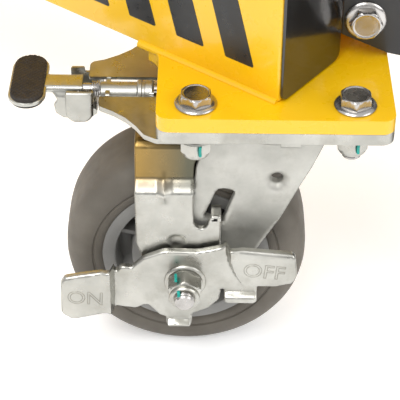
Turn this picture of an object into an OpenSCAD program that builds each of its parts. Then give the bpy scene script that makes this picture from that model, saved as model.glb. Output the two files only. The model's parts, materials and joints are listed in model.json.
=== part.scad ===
// Wheel dolly for truck tyres: an A-frame on two braked swivel casters, with low roller arms.
// Each corner is drawn in its own frame: X forward from the swivel axis, Y inward, Z up from the floor.
// The dolly's origin is on the floor, at the middle of its outline.

/* [Frame] */
// Distance between the two swivel axes, across the dolly
track = 560; // [520:5:640]
// Angle of the legs from the dolly's centre line
leg_angle = 37; // [34:1:42]
// Width of the leg tube
leg_w = 50.8; // [45:0.1:60]
// Height of the leg tube
leg_h = 76.2; // [60:0.1:90]
// Wall of the frame tubes
tube_t = 3.2; // [2.5:0.1:4]
// Thickness of the yellow base plate
base_t = 7.9; // [6:0.1:10]
// Top of the push handle above the floor
handle_z = 930; // [800:10:1050]
// Length of the push handle across the dolly
handle_len = 460; // [380:10:520]

/* [Arms] */
// Reach of the arms in front of the swivel axes
arm_reach = 640; // [560:10:760]
// Outside width of one arm
arm_w = 60; // [56:1:66]
// Diameter of a tyre roller
roller_d = 38.1; // [32:0.1:40]
// Diameter of the wheel at the arm tip
tip_wheel_d = 101.6; // [90:0.1:110]

/* [Caster] */
// Height of the caster from the floor to its top plate
caster_h = 165.1; // [160:0.1:175]
// Length of the top plate along X
plate_x = 114.3; // [110:0.1:120]
// Width of the top plate along Y
plate_y = 101.6; // [98:0.1:108]
// Thickness of the top plate
plate_t = 6.35; // [5:0.05:8]
// Bolt spacing, the same both ways
bolt_pitch = 76.2; // [74:0.1:78]
// Diameter of the swivel wheel
wheel_d = 127; // [120:0.1:127]
// Width of the swivel wheel
wheel_w = 48; // [44:0.5:50]
// Distance of the wheel axle behind the swivel axis
trail = 43.2; // [40:0.1:46]

/* [Travel] */
// Gap between the brake shoe and the tyre
shoe_gap = 0.35; // [0.3:0.05:0.6]
// Depth of the four locking notches in the swivel crown
notch_depth = 6; // [5:0.5:7]

/* [Hidden] */
$fn = 96;
SIDES = [["r", -1], ["l", 1]];

// Colours
YELLOW = [0.96, 0.74, 0.04];
BLACK = [0.07, 0.07, 0.07];
ZINC = [0.78, 0.79, 0.77];
STEEL = [0.6, 0.6, 0.62];
RUBBER = [0.40, 0.38, 0.36];
CORE = [0.58, 0.58, 0.60];

// Standard hardware
bolt_d = 9.5;
bolt_hole_d = 10.3;
bolt_af = 14.3;
flange_d = 20.6;
flange_t = 1.4;
head_h = 7;
nut_h = 10;
axle_d = 10;
axle_af = 17;
axle_head_h = 6.4;
axle_nut_h = 11.2;
run = 0.05;             // radial clearance of a running fit
gap = 0.3;              // smallest gap between moving faces

// Heights above the floor
wheel_r = wheel_d / 2;
axle_z = wheel_r;
deck = caster_h + base_t;
plate_bot = caster_h - plate_t;
crown_top = plate_bot - 0.8;
crown_bot = deck - 28;
lock_z = deck - 18.2;
bracket_t = 3;
bracket_bot = plate_bot - bracket_t;

// Swivel head
crown_r = 38.5;
pocket_r = 32;
pocket_floor = crown_bot + 3;
king_r = 8;
ball_r = 3.1;
race_r = 27;
ball_z = pocket_floor + gap + ball_r;

// Fork and wheel stack, as distances from the wheel's middle plane
fork_in = 27.5;
fork_out = 32;
shoe_panel_in = 27.6;
panel_t = 3;
brake_in = 34.4;
brake_out = brake_in + panel_t;
lever_in = 39.3;
lever_t = 3.5;
lever_out = lever_in + lever_t;
boss_out = lever_out + 1.6;
washer_out = boss_out + 1.6;
washer_r = 9.6;
nut_out = washer_out + axle_nut_h;
axle_end = nut_out + 3;
rim_r = 44.5;
hub_r = 28.7;
bush_r = 12;
boss_r = 11.2;
pedal_in = 47.5;
pedal_t = 3;
saddle_top = deck - 29.8;
saddle_x0 = -68.6;
saddle_x1 = -39.4;

// Frame plan
half_track = track / 2;
corner_r = 6.5;
leg_foot = [1.4, -37];                      // near bottom corner of the leg's end
leg_dir = [-cos(leg_angle), sin(leg_angle)];
leg_perp = [sin(leg_angle), cos(leg_angle)];
leg_start = leg_foot + leg_w / 2 * leg_perp;     // middle of the leg's end
socket_w = 57.2;
mast_w = 50.8;
leg_run = (half_track - leg_start[1]) / sin(leg_angle);
apex_x = leg_start[0] + leg_run * leg_dir[0];
socket_h = 150;
mast_x = apex_x + socket_w / 2 / tan(leg_angle);
beam_w = 50.8;
beam_x0 = 34;
beam_z0 = deck + 12;
arm_y0 = 4;                                 // outer face of an arm's outer wall
arm_wall = 5;
beam_end = arm_y0 + arm_wall;
end_block_t = 18;                           // tapped block in each end of the crossbeam
arm_bolt_x = [44.4, 74.4];
arm_bolt_z = [deck + 22, deck + 53];
arm_bolt_reach = arm_wall + end_block_t - 3;

// Arm heights and stations
arm_top = deck + 66;
rail_x0 = 124;                              // rear face of the arm's drop leg
rail_x1 = 164;
rail_bot = 34;
rail_top = 80;
roller_r = roller_d / 2;
roller_z = rail_top - 6;
roller_x0 = rail_x1 + 22;
tip_r = tip_wheel_d / 2;
tip_axle_x = arm_reach - tip_r;
roller_x1 = tip_axle_x - tip_r - 30;
shaft_r = 8;
arm_mid_y = arm_y0 + arm_w / 2;

// Lock plunger and lock lever pivot
lock_r = 3.4;
pivot_x = -90;
pivot_z = deck - 26;
pin_r = 2;
pedal_x = -32.5;
pedal_r = 8.6;
pedal_half = 12;

// Offset of the corner frames, so that the origin is the middle of the outline
grip_x = mast_x - 60;
bar_r = 15.9;
neck_wall = 5;
bar_z = handle_z - bar_r - neck_wall;
front_x = arm_reach;
back_x = grip_x - bar_r - neck_wall;
mid_x = (front_x + back_x) / 2;

// Puts children from the corner frame at side s (-1 right, 1 left) into the dolly's frame
module corner(s) {
    translate([-mid_x, s * half_track, 0]) mirror([0, s > 0 ? 1 : 0, 0]) children();
}

// Cylinder along Y from y0 to y1
module rod_y(r, y0, y1) {
    translate([0, y0, 0]) rotate([-90, 0, 0]) cylinder(r = r, h = y1 - y0);
}

// Cylinder along X from x0 to x1
module rod_x(r, x0, x1) {
    translate([x0, 0, 0]) rotate([0, 90, 0]) cylinder(r = r, h = x1 - x0);
}

// Box given by its lowest and highest corner
module block(a, b) {
    translate(a) cube(b - a);
}

// Plate in the XZ plane, between y0 and y1
module plate_xz(points, y0, y1) {
    translate([0, y1, 0]) rotate([90, 0, 0]) linear_extrude(y1 - y0) polygon(points);
}

// Rectangle with round corners, centred
module round_rect(x, y, r) {
    union() {
        square([x - 2 * r, y], center = true);
        square([x, y - 2 * r], center = true);
        for (i = [-1, 1], j = [-1, 1]) translate([i * (x / 2 - r), j * (y / 2 - r)]) circle(r);
    }
}

// The four bolt places of a caster
module at_bolts() {
    for (i = [-1, 1], j = [-1, 1]) translate([i, j, 0] * bolt_pitch / 2) children();
}

module hex(af, h) {
    cylinder(d = af / cos(30), h = h, $fn = 6);
}

// Hexagon of an axle bolt or nut, drawn along Y from 0 to h, with a corner upward
module axle_hex(h) {
    rotate([-90, 30, 0]) hex(axle_af, h);
}

// Rectangular tube along +X from the origin, its section centred on Y and standing on Z = 0
module tube_x(len, w, h, t) {
    difference() {
        translate([0, -w / 2, 0]) cube([len, w, h]);
        translate([-1, -w / 2 + t, t]) cube([len + 2, w - 2 * t, h - 2 * t]);
    }
}

// ---- Frame -------------------------------------------------------------------------------

module base_plate(s) {
    color(YELLOW) corner(s) translate([0, 0, caster_h]) difference() {
        linear_extrude(base_t) union() {
            round_rect(plate_x, plate_y, corner_r);
            base_fillet();
        }
        at_bolts() translate([0, 0, -1]) cylinder(d = bolt_hole_d, h = base_t + 2);
    }
}

// Concave corner between the plate's outer edge and the leg's side
module base_fillet() {
    r = 14;
    edge = -plate_x / 2;
    cx = edge - r;
    cy = leg_foot[1] - (r + (cx - leg_foot[0]) * leg_perp[0]) / leg_perp[1];
    touch = [cx, cy] + r * leg_perp;
    difference() {
        polygon([[cx, cy], [edge + 1, cy], [edge + 1, touch[1] + 12], touch + 10 * leg_perp, touch]);
        translate([cx, cy]) circle(r);
    }
}

// Children drawn along +X in the leg's own frame, which starts at the middle of its end
module in_leg() {
    translate([leg_start[0], leg_start[1], deck]) rotate([0, 0, 180 - leg_angle]) children();
}

module leg(s) {
    color(YELLOW) corner(s) difference() {
        in_leg() tube_x(leg_run + leg_w, leg_w, leg_h, tube_t);
        translate([apex_x - leg_run, half_track - socket_w / 2, deck - 1])
            cube([leg_run * 2, leg_w * 4, leg_h + 2]);
    }
}

module end_cap(s) {
    lip = 0.5;
    plate = 1.6;
    plug = 14;
    wall = tube_t + 0.15;
    color(BLACK) corner(s) in_leg() union() {
        translate([-plate, 0, leg_h / 2]) rotate([90, 0, 90]) linear_extrude(plate)
            round_rect(leg_w - 2 * lip, leg_h - 2 * lip, 5);
        translate([0, -leg_w / 2 + wall, wall]) cube([plug, leg_w - 2 * wall, leg_h - 2 * wall]);
    }
}

module crossbeam() {
    gusset_t = 6;
    brace = [[26, 12], [beam_x0 + 2, 12], [beam_x0 + 2, 78], [-34, 56]];
    color(YELLOW) difference() {
        union() {
            translate([-mid_x + beam_x0 + beam_w / 2, -half_track + beam_end, beam_z0])
                rotate([0, 0, 90]) tube_x(track - 2 * beam_end, beam_w, beam_w, tube_t);
            for (side = SIDES) corner(side[1]) {
                for (z = [beam_z0, beam_z0 + beam_w - gusset_t])
                    translate([0, 0, z]) linear_extrude(gusset_t) difference() {
                        polygon(brace);
                        leg_shadow();
                    }
                block([beam_x0, beam_end, beam_z0],
                    [beam_x0 + beam_w, beam_end + end_block_t, beam_z0 + beam_w]);
            }
        }
        for (side = SIDES) corner(side[1]) at_arm_bolts()
            rod_y(bolt_d / 2 + run, 0, arm_bolt_reach + 1);
    }
}

// The leg's outline from above
module leg_shadow() {
    translate(leg_start) rotate(180 - leg_angle) translate([-5, -leg_w / 2]) square([300, leg_w]);
}

module apex_socket() {
    apex_t = 6;
    apex_plan = [
        [mast_x - 46, -30], [mast_x - 46, 30], [mast_x - 20, 64], [mast_x + 70, 74],
        [mast_x + 92, 30], [mast_x + 92, -30], [mast_x + 70, -74], [mast_x - 20, -64]
    ];
    lug_t = 8;
    lug_half_h = 17;
    tie_x = mast_x + socket_w / 2 + 18;
    tie_z = deck + 107;
    tie_r = 7;
    fit = 0.15;
    color(YELLOW) translate([-mid_x, 0, 0]) union() {
        difference() {
            union() {
                translate([mast_x - socket_w / 2, -socket_w / 2, deck - apex_t])
                    cube([socket_w, socket_w, socket_h]);
                for (z = [deck - apex_t, deck + leg_h]) translate([0, 0, z]) linear_extrude(apex_t)
                    polygon(apex_plan);
            }
            translate([mast_x - mast_w / 2 - fit, -mast_w / 2 - fit, deck])
                cube([mast_w + 2 * fit, mast_w + 2 * fit, socket_h]);
            for (z = mast_bolt_z()) translate([mast_x, 0, z]) rod_y(bolt_hole_d / 2, -60, 60);
        }
        difference() {
            block([mast_x + socket_w / 2, -lug_t / 2, tie_z - lug_half_h],
                [tie_x + 2 * tie_r, lug_t / 2, tie_z + lug_half_h]);
            translate([tie_x, 0, tie_z]) rod_y(tie_r, -lug_t, lug_t);
        }
    }
}

function mast_bolt_z() = [deck + 92, deck + 128];

module mast() {
    neck_end = grip_x - mast_x - bar_r - neck_wall;
    neck = [
        [-mast_w / 2, handle_z - 120], [mast_w / 2, handle_z - 65], [mast_w / 2, handle_z - 28],
        [mast_w / 2 - 22, handle_z], [neck_end, handle_z], [neck_end, handle_z - 44]
    ];
    hollow = mast_w - 2 * tube_t;
    color(YELLOW) translate([-mid_x + mast_x, 0, 0]) difference() {
        union() {
            translate([-mast_w / 2, -mast_w / 2, deck]) cube([mast_w, mast_w, handle_z - 60 - deck]);
            plate_xz(neck, -mast_w / 2, mast_w / 2);
        }
        translate([-hollow / 2, -hollow / 2, deck - 1]) cube([hollow, hollow, handle_z - 120 - deck]);
        for (z = mast_bolt_z()) translate([0, 0, z]) rod_y(bolt_hole_d / 2, -mast_w, mast_w);
        translate([grip_x - mast_x, 0, bar_z]) rod_y(bar_r, -mast_w, mast_w);
    }
}

module handle_bar() {
    color(YELLOW) translate([-mid_x + grip_x, 0, bar_z]) difference() {
        rod_y(bar_r, -handle_len / 2, handle_len / 2);
        rod_y(bar_r - tube_t, -handle_len, handle_len);
    }
}

module grips() {
    grip_len = 120;
    grip_r = 17;
    y1 = handle_len / 2 + 3;
    color(BLACK) translate([-mid_x + grip_x, 0, bar_z]) for (s = [0, 1]) mirror([0, s, 0])
        difference() {
            rod_y(grip_r, y1 - grip_len, y1);
            rod_y(bar_r, y1 - grip_len - 1, handle_len / 2);
        }
}

module mast_bolts() {
    grip_y = socket_w / 2;
    mast_head_h = 7;
    mast_nut_h = 8;
    color(STEEL) for (z = mast_bolt_z()) translate([-mid_x + mast_x, 0, z]) union() {
        rod_y(bolt_d / 2, -grip_y - 1, grip_y + mast_nut_h + 4);
        translate([0, -grip_y - mast_head_h, 0]) rotate([-90, 0, 0]) hex(bolt_af, mast_head_h);
        translate([0, grip_y, 0]) rotate([-90, 0, 0]) hex(bolt_af, mast_nut_h);
    }
}

// Flange bolt with its flange on Z = 0, its head below and its shank reaching up to the grip
module flange_bolt(grip) {
    union() {
        translate([0, 0, -1]) cylinder(d = bolt_d, h = grip + 1);
        translate([0, 0, -flange_t]) cylinder(d = flange_d, h = flange_t);
        rotate(30) translate([0, 0, -head_h]) hex(bolt_af, head_h - flange_t);
    }
}

// Three flange bolts at each caster. The fourth place lies under the leg, so it takes a stud.
module caster_bolts() {
    grip = deck - bracket_bot + nut_h + 2;
    color(STEEL) for (side = SIDES) corner(side[1]) for (i = [-1, 1], j = [-1, 1])
        translate([i * bolt_pitch / 2, j * bolt_pitch / 2, deck]) mirror([0, 0, 1])
            if (i < 0 && j > 0) translate([0, 0, gap]) cylinder(d = bolt_d, h = grip - gap);
            else flange_bolt(grip);
}

// The two outer nuts of each caster also clamp the swivel-lock bracket, so they sit lower
module caster_nuts() {
    color(ZINC) for (side = SIDES) corner(side[1]) for (i = [-1, 1], j = [-1, 1])
        translate([i * bolt_pitch / 2, j * bolt_pitch / 2, i < 0 ? bracket_bot : plate_bot])
            flange_nut();
}

// Flange lock nut, with its flange against Z = 0 and its hexagon below
module flange_nut() {
    difference() {
        union() {
            translate([0, 0, -nut_h]) rotate(30) hex(bolt_af, nut_h - 1);
            translate([0, 0, -flange_t]) cylinder(d = flange_d - 1, h = flange_t);
        }
        translate([0, 0, -nut_h - 1]) cylinder(r = bolt_d / 2 + run, h = nut_h + 2);
    }
}

// The four bolt places of an arm, on the arm's outer face
module at_arm_bolts() {
    for (x = arm_bolt_x, z = arm_bolt_z) translate([x, arm_y0, z]) children();
}

module arm_bolts() {
    color(STEEL) for (side = SIDES) corner(side[1]) at_arm_bolts()
        rotate([-90, 0, 0]) flange_bolt(arm_bolt_reach);
}

// ---- Arms --------------------------------------------------------------------------------

// Outline of an arm's wall from x0 forward: a gooseneck over the caster, then a low rail
function arm_outline(x0, foot) = concat(
    foot,
    [
        [rail_x0, deck + 1], [rail_x0, rail_bot + 12], [rail_x0 + 12, rail_bot],
        [tip_axle_x + 10, rail_bot], [tip_axle_x + 22, rail_bot + 14],
        [tip_axle_x + 22, rail_top - 14], [tip_axle_x + 10, rail_top],
        [rail_x1 + 18, rail_top], [rail_x1, rail_top + 22], [rail_x1, arm_top - 16],
        [rail_x1 - 16, arm_top], [x0, arm_top]
    ]
);

module arm(s) {
    y1 = arm_y0 + arm_w;
    outer_x0 = 33;
    inner_x0 = beam_x0 + beam_w + 2;
    outer_foot = [[outer_x0, deck + 13.6], [57, deck + 2.6], [64, deck + 1]];
    web = arm_wall;
    bulkheads = [roller_x0 - 14, roller_x1 + 8];
    bulkhead_t = 6;
    color(BLACK) corner(s) difference() {
        union() {
            plate_xz(arm_outline(outer_x0, outer_foot), arm_y0, arm_y0 + arm_wall);
            plate_xz(arm_outline(inner_x0, [[inner_x0, deck + 1]]), y1 - arm_wall, y1);
            block([inner_x0, arm_y0 + 1, deck + 1], [rail_x0 + web, y1 - 1, deck + 1 + web]);
            block([rail_x0, arm_y0 + 1, rail_bot + 12], [rail_x0 + web, y1 - 1, deck + 1 + web]);
            block([rail_x0 + 12, arm_y0 + 1, rail_bot], [roller_x1 + 14, y1 - 1, rail_bot + web]);
            block([inner_x0, arm_y0 + 1, arm_top - web], [rail_x1 - 16, y1 - 1, arm_top]);
            block([rail_x1 - web, arm_y0 + 1, rail_top + 22], [rail_x1, y1 - 1, arm_top - 16]);
            for (x = bulkheads)
                block([x, arm_y0 + 1, rail_bot], [x + bulkhead_t, y1 - 1, rail_top + 8]);
        }
        translate([0, arm_mid_y, roller_z]) rod_x(shaft_r, roller_x0 - 40, roller_x1 + 40);
        translate([tip_axle_x, 0, tip_r]) rod_y(axle_d / 2 + run, 0, arm_w + 10);
        at_arm_bolts() rod_y(bolt_hole_d / 2, -1, arm_wall + 1);
    }
}

module roller(s) {
    color(STEEL) corner(s) translate([0, arm_mid_y, roller_z]) difference() {
        rod_x(roller_r, roller_x0, roller_x1);
        rod_x(shaft_r + run, roller_x0 - 1, roller_x1 + 1);
    }
}

module roller_shaft(s) {
    collar_t = 5;
    color(ZINC) corner(s) translate([0, arm_mid_y, roller_z]) union() {
        rod_x(shaft_r, roller_x0 - 18, roller_x1 + 18);
        for (x = [roller_x0 - 20, roller_x1 + 14.5]) rod_x(shaft_r + 4, x, x + collar_t);
    }
}

module tip_core(s) {
    core_r = tip_r - 12;
    half_w = 18;
    rim_t = 5;
    hub_out_r = 15;
    web_half = 8;
    color(CORE) corner(s) translate([tip_axle_x, arm_mid_y, tip_r]) difference() {
        rod_y(core_r, -half_w, half_w);
        rod_y(axle_d / 2 + run, -half_w - 1, half_w + 1);
        for (i = [0, 1]) mirror([0, i, 0]) difference() {
            rod_y(core_r - rim_t, -half_w - 1, -web_half);
            rod_y(hub_out_r, -half_w - 2, 0);
        }
    }
}

module tip_tyre(s) {
    color(RUBBER) corner(s) translate([tip_axle_x, arm_mid_y, tip_r])
        tyre_ring(tip_r, tip_r - 12, 19);
}

module tip_axle(s) {
    y1 = arm_y0 + arm_w;
    color(STEEL) corner(s) translate([tip_axle_x, 0, tip_r]) union() {
        rod_y(axle_d / 2, arm_y0 - 1, y1 + axle_nut_h + 3);
        translate([0, arm_y0 - axle_head_h, 0]) axle_hex(axle_head_h);
        translate([0, y1, 0]) axle_hex(axle_nut_h);
    }
}

// ---- Swivel caster -----------------------------------------------------------------------

function arc_points(cx, cy, r, a0, a1, n) =
    [for (i = [0:n]) let (a = a0 + (a1 - a0) * i / n) [cx + r * cos(a), cy + r * sin(a)]];

// Tyre with a flat middle, round shoulders and a bead step, its axis along Y
module tyre_ring(r_out, r_in, half_w) {
    shoulder = half_w / 3;
    flank = half_w - 0.6;
    lip_r = r_in + (r_out - r_in) * 0.3;
    upper = arc_points(r_out - shoulder - 0.8, half_w - shoulder, shoulder, 75, 0, 8);
    rotate([-90, 0, 0]) rotate_extrude($fn = 128) polygon(concat(
        [[r_in, -flank + 1], [lip_r, -flank], [lip_r + 1, -half_w]],
        [for (p = upper) [p[0], -p[1]]],
        [[r_out, -half_w * 0.35], [r_out, half_w * 0.35]],
        [for (i = [len(upper) - 1:-1:0]) upper[i]],
        [[lip_r + 1, half_w], [lip_r, flank], [r_in, flank - 1]]
    ));
}

module top_plate(s) {
    boss_z = ball_z + ball_r + gap;
    color(ZINC) corner(s) difference() {
        union() {
            translate([0, 0, plate_bot]) linear_extrude(plate_t)
                round_rect(plate_x, plate_y, corner_r);
            translate([0, 0, boss_z]) cylinder(r = pocket_r - 1, h = plate_bot - boss_z + 1);
        }
        translate([0, 0, boss_z - 1]) cylinder(r = king_r + run, h = 40);
        at_bolts() translate([0, 0, plate_bot - 1]) cylinder(d = bolt_hole_d, h = plate_t + 2);
    }
}

module kingpin(s) {
    head_t = 6;
    head_r = 13;
    color(ZINC) corner(s) union() {
        translate([0, 0, crown_bot - gap - head_t]) cylinder(r = head_r, h = head_t);
        translate([0, 0, crown_bot - gap - 1]) cylinder(r = king_r, h = caster_h - 1 - crown_bot);
    }
}

module ball_race(s) {
    count = 20;
    color(STEEL) corner(s) translate([0, 0, ball_z]) union() {
        for (i = [0:count - 1]) rotate(i * 360 / count) translate([race_r, 0, 0])
            sphere(r = ball_r, $fn = 32);
        difference() {
            translate([0, 0, -0.8]) cylinder(r = race_r + 1.5, h = 1.6);
            translate([0, 0, -2]) cylinder(r = race_r - 1.5, h = 4);
        }
    }
}

// Outline of the fork's side plate, from the axle's centre; its lug is a circle of its own
fork_profile = [
    [13, crown_bot + 2 - axle_z], [69, crown_bot + 2 - axle_z], [67.7, 82], [63.5, 67.7],
    [56.7, 53], [48.4, 33.9], [37.2, 13.5], [12, -12], [-12, -12], [-17, 4], [-9, 28],
    [4.8, 54.1], [9, 66]
];
fork_window = [[16.2, 54], [25.4, 51], [18.6, 31], [9.2, 34.5]];

module fork(s) {
    lug_r = 17;
    hole_at = [46, 0, 58.6];
    hole_r = 3.2;
    color(ZINC) corner(s) difference() {
        union() {
            translate([0, 0, crown_bot]) cylinder(r = crown_r, h = crown_top - crown_bot);
            for (y = [-fork_out, fork_in]) translate([-trail, 0, axle_z]) {
                plate_xz(fork_profile, y, y + fork_out - fork_in);
                rod_y(lug_r, y, y + fork_out - fork_in);
            }
        }
        translate([0, 0, pocket_floor]) cylinder(r = pocket_r, h = 30);
        translate([0, 0, crown_bot - 5]) cylinder(r = king_r + run, h = 30);
        for (a = [0, 90, 180, 270]) rotate(a) translate([0, 0, lock_z])
            rod_x(lock_r + 0.4, crown_r - notch_depth, crown_r + 5);
        translate([-trail, 0, axle_z]) {
            rod_y(axle_d / 2 + run, -60, 60);
            translate(hole_at) rod_y(hole_r, -60, 60);
            for (y = [-fork_out - 1, fork_in - 1])
                plate_xz(fork_window, y, y + fork_out - fork_in + 2);
        }
    }
}

module axle_bolt(s) {
    color(STEEL) corner(s) translate([-trail, 0, axle_z]) union() {
        rod_y(axle_d / 2, -axle_end, fork_out + 1);
        translate([0, fork_out, 0]) axle_hex(axle_head_h);
    }
}

module axle_nut(s) {
    color(ZINC) corner(s) translate([-trail, 0, axle_z]) difference() {
        union() {
            translate([0, -nut_out, 0]) axle_hex(axle_nut_h);
            rod_y(washer_r, -washer_out, -boss_out - gap);
        }
        rod_y(axle_d / 2 + run, -80, 0);
    }
}

// Inverted U over the tyre, with the friction shoe under its web
module brake_saddle(s) {
    shoe_y = wheel_w / 2 - 4;
    upper_out = shoe_panel_in + panel_t;    // outer face of the side panels above their bend
    hub_clear_r = 14;
    plate_side = [
        [saddle_x0, deck - 56], [saddle_x0, deck - 90], [saddle_x0 + 4.2, deck - 102],
        [-31, deck - 102], [-25, deck - 97], [-25, deck - 71], [-30.2, deck - 71],
        [-32, deck - 76.5], [-34, deck - 78.5], [-37, deck - 78], [-38.6, deck - 75.5],
        [-38.8, deck - 56]
    ];
    far_side = [
        [saddle_x0, deck - 56], [saddle_x0, deck - 84], [saddle_x1, deck - 84],
        [saddle_x1, deck - 56]
    ];
    color(ZINC) corner(s) difference() {
        union() {
            block([saddle_x0, -upper_out, saddle_top - panel_t],
                [saddle_x1, upper_out, saddle_top]);
            for (i = [0, 1]) mirror([0, i, 0]) {
                block([saddle_x0, -upper_out, deck - 50],
                    [saddle_x1, -shoe_panel_in, saddle_top]);
                saddle_joggle();
            }
            plate_xz(plate_side, -brake_out, -brake_in);
            plate_xz(far_side, brake_in, brake_out);
            block([-30.2, -brake_in - 1, deck - 73.5], [-25, -29.5, deck - 71]);
            block([-62, -shoe_y, deck - 56], [-44, shoe_y, saddle_top - 1]);
        }
        translate([-trail, 0, axle_z]) {
            rod_y(wheel_r + shoe_gap, -shoe_y - 2, shoe_y + 2);
            rod_y(hub_clear_r, -60, 0);
        }
    }
}

// The bend that steps each side panel of the saddle outward, below its upper panel
module saddle_joggle() {
    in0 = shoe_panel_in;
    section = [
        [-in0, deck - 49], [-in0 - panel_t, deck - 49], [-brake_out, deck - 58],
        [-brake_in, deck - 58]
    ];
    translate([saddle_x0, 0, 0]) rotate([90, 0, 90]) linear_extrude(saddle_x1 - saddle_x0)
        polygon(section);
}

// Rocker on the axle: ON pedal at the outer end, OFF pedal at the inner end, from the axle's centre
lever_profile = [
    [-38, 4.8], [-33, 9.2], [-23.4, 12.8], [-18, 18], [-10.8, 20.1], [6.6, 20.1], [19.3, 23.2],
    [24, 24], [35.7, 0.4], [37, -9], [20.6, -9], [19.4, -7.2], [17.8, -13.3], [12.5, -19],
    [3.4, -24], [3.4, -27], [-9.8, -27], [-13.3, -24.5], [-20, -16.6], [-26.2, -19.8],
    [-38, -17.8]
];
on_pedal = [
    [-62, 4.4], [-41, 9.6], [-41, -16], [-52, -19.6], [-61, -18], [-64.4, -14.5], [-64, 1]
];
off_pedal = [[23.6, 27.6], [55, 24], [57.4, 20], [57, 11], [52, 6.4], [36, 0.4], [23.6, 6]];

module brake_lever(s) {
    hub_in = fork_out + gap;
    hub_out_r = 10;
    lip_t = 3;                              // outward lips at the foot and beside the OFF pedal
    color(ZINC) corner(s) translate([-trail, 0, axle_z]) difference() {
        union() {
            plate_xz(lever_profile, -lever_out, -lever_in);
            rod_y(boss_r, -boss_out, -lever_in);
            rod_y(hub_out_r, -lever_out, -hub_in);
            plate_xz(on_pedal, -pedal_in - pedal_t, -pedal_in);
            plate_xz(off_pedal, -pedal_in - pedal_t, -pedal_in);
            pedal_step(-37, -42, [-16, 7]);
            pedal_step(19, 24.6, [6, 23]);
            block([-9.8, -lever_out - lip_t, -27 - lip_t], [3.4, -lever_in, -27]);
            block([20.6, -lever_out - lip_t, -9 - lip_t], [37, -lever_in, -9]);
        }
        rod_y(axle_d / 2 + run, -80, 0);
    }
}

// Joggle from the lever's plane at xa out to the pedal's plane at xb
module pedal_step(xa, xb, z) {
    translate([0, 0, z[0]]) linear_extrude(z[1] - z[0]) polygon([
        [xa, -lever_in], [xa, -lever_out], [xb, -pedal_in - pedal_t], [xb, -pedal_in]
    ]);
}

module wheel_core(s) {
    rim_t = 7.3;
    web_half = 8;
    half_w = wheel_w / 2 - 1.5;
    color(CORE) corner(s) translate([-trail, 0, axle_z]) difference() {
        rod_y(rim_r, -half_w, half_w);
        rod_y(bush_r, -40, 40);
        for (i = [0, 1]) mirror([0, i, 0]) difference() {
            rod_y(rim_r - rim_t, -40, -web_half);
            rod_y(hub_r, -41, 0);
        }
    }
}

module tyre(s) {
    color(RUBBER) corner(s) translate([-trail, 0, axle_z])
        tyre_ring(wheel_r, rim_r, wheel_w / 2);
}

module hub_bearing(s) {
    color(STEEL) corner(s) translate([-trail, 0, axle_z]) difference() {
        rod_y(bush_r, -fork_in + 0.6, fork_in - 0.6);
        rod_y(axle_d / 2 + run, -40, 40);
    }
}

// ---- Four-position swivel lock -----------------------------------------------------------

// Plate under the caster plate, slotted over the plunger, with two ears for the pedal's pivot
module lock_bracket(s) {
    wing = [
        [-86, 20.7], [-79, 25], [-72.5, 30.4], [-67.2, 37], [-63, 44], [-57, 47.6], [-26, 47.6],
        [-26, 32], [-40.5, 20], [-40.5, 0]
    ];
    cover = [[-88.5, 0], [-88.5, 10.4], [-94, 10.4], [-94, 19]];
    ear_top = bracket_bot + bracket_t - 1;
    ear = [
        [-84, ear_top], [-98, ear_top], [-101, pivot_z + 6], [-101, pivot_z - 3],
        [-98, pivot_z - 6.4], [-89.5, pivot_z - 6.4], [-87, pivot_z - 3], [-86, pivot_z + 2],
        [-84, pivot_z + 4]
    ];
    ear_y = 11;
    ear_t = 3;
    slot_y = [-10, 5.2];
    seat_x = [-86, -80];                    // wall the spring rests on
    guide_x = [-67, -60];                   // wall the plunger slides through
    sleeve_r = 5.2;
    color(ZINC) corner(s) difference() {
        union() {
            translate([0, 0, bracket_bot]) linear_extrude(bracket_t) difference() {
                union() {
                    polygon(concat(cover, wing));
                    mirror([0, 1]) polygon(concat([[seat_x[0], 0]], wing));
                }
                translate([-95, slot_y[0]]) square([66, slot_y[1] - slot_y[0]]);
                for (j = [-1, 1]) translate([-1, j] * bolt_pitch / 2) circle(d = bolt_hole_d);
                circle(r = crown_r + 1.2);
            }
            for (y = [-ear_y - ear_t, ear_y]) plate_xz(ear, y, y + ear_t);
            block([seat_x[0], slot_y[0] - 3, lock_z - 6.6], [seat_x[1], slot_y[1] + 1.5, ear_top]);
            block([guide_x[0], slot_y[0] - 2, lock_z - 5], [guide_x[1], slot_y[1] + 2, ear_top]);
            translate([0, 0, lock_z]) rod_x(sleeve_r, guide_x[0] - 1, guide_x[1] + 0.5);
        }
        translate([0, 0, lock_z]) rod_x(lock_r + run, -90, -30);
        translate([pivot_x, 0, pivot_z]) rod_y(pin_r + run, -20, 20);
    }
}

module lock_plunger(s) {
    head_x = [-98, -96];
    head_r = 4.2;
    color(STEEL) corner(s) translate([0, 0, lock_z]) union() {
        rod_x(lock_r, head_x[1], -crown_r - 0.9);
        rod_x(head_r, head_x[0], head_x[1]);
    }
}

// Short compression spring, drawn as its stack of coils
module lock_spring(s) {
    wire = 0.55;
    coils = 3;
    pitch = 1.15;
    coil_r = 4.3;
    color(STEEL) corner(s) translate([-86.4 - wire, 0, lock_z]) for (i = [0:coils - 1])
        translate([-i * pitch, 0, 0]) rotate([0, 90, 0]) rotate_extrude() translate([coil_r, 0])
            circle(r = wire, $fn = 24);
}

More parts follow.
